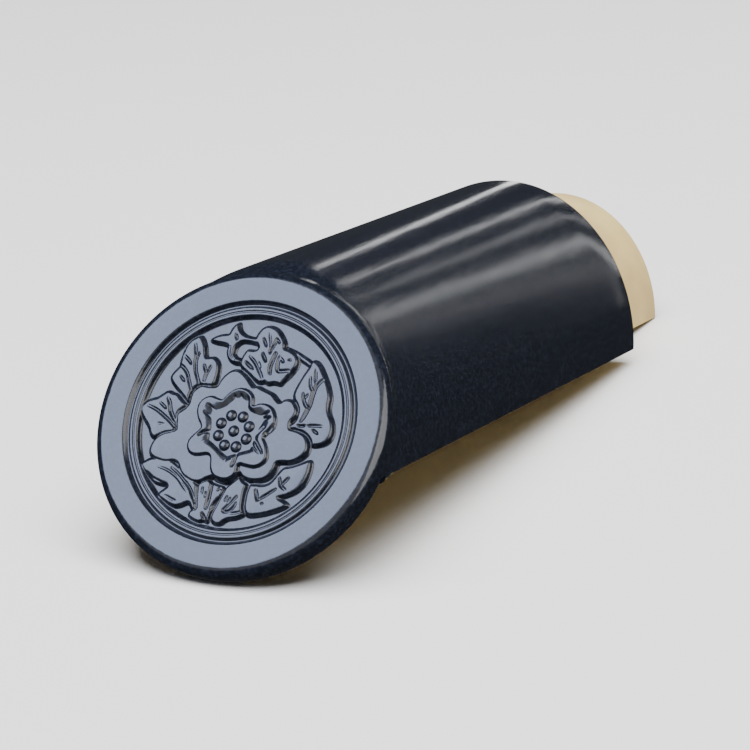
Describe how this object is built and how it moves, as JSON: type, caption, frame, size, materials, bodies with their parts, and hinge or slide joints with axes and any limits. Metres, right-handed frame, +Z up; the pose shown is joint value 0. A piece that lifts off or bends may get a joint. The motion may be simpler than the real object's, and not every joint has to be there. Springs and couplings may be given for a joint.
{
  "type": "eave-end barrel roof tile",
  "caption": "Half-round glazed roof tile closed at its eave end by a leaning disc with a peony in relief; the bare clay spigot at the other end fits under the next tile.",
  "frame": {"origin": "middle of the tile's box, on the ground it lies on", "axes": "+Y from the disc along the barrel to the spigot, +Z up, as the tile lies on its disc's edge and its spigot's feet; the disc faces -Y and about 36 degrees up"},
  "size_m": [0.131, 0.3846, 0.1101],
  "materials": {
    "black_glaze": "satin"
  },
  "bodies": {
    "root": {"eave_tile": "black_glaze"}
  },
  "joints": []
}
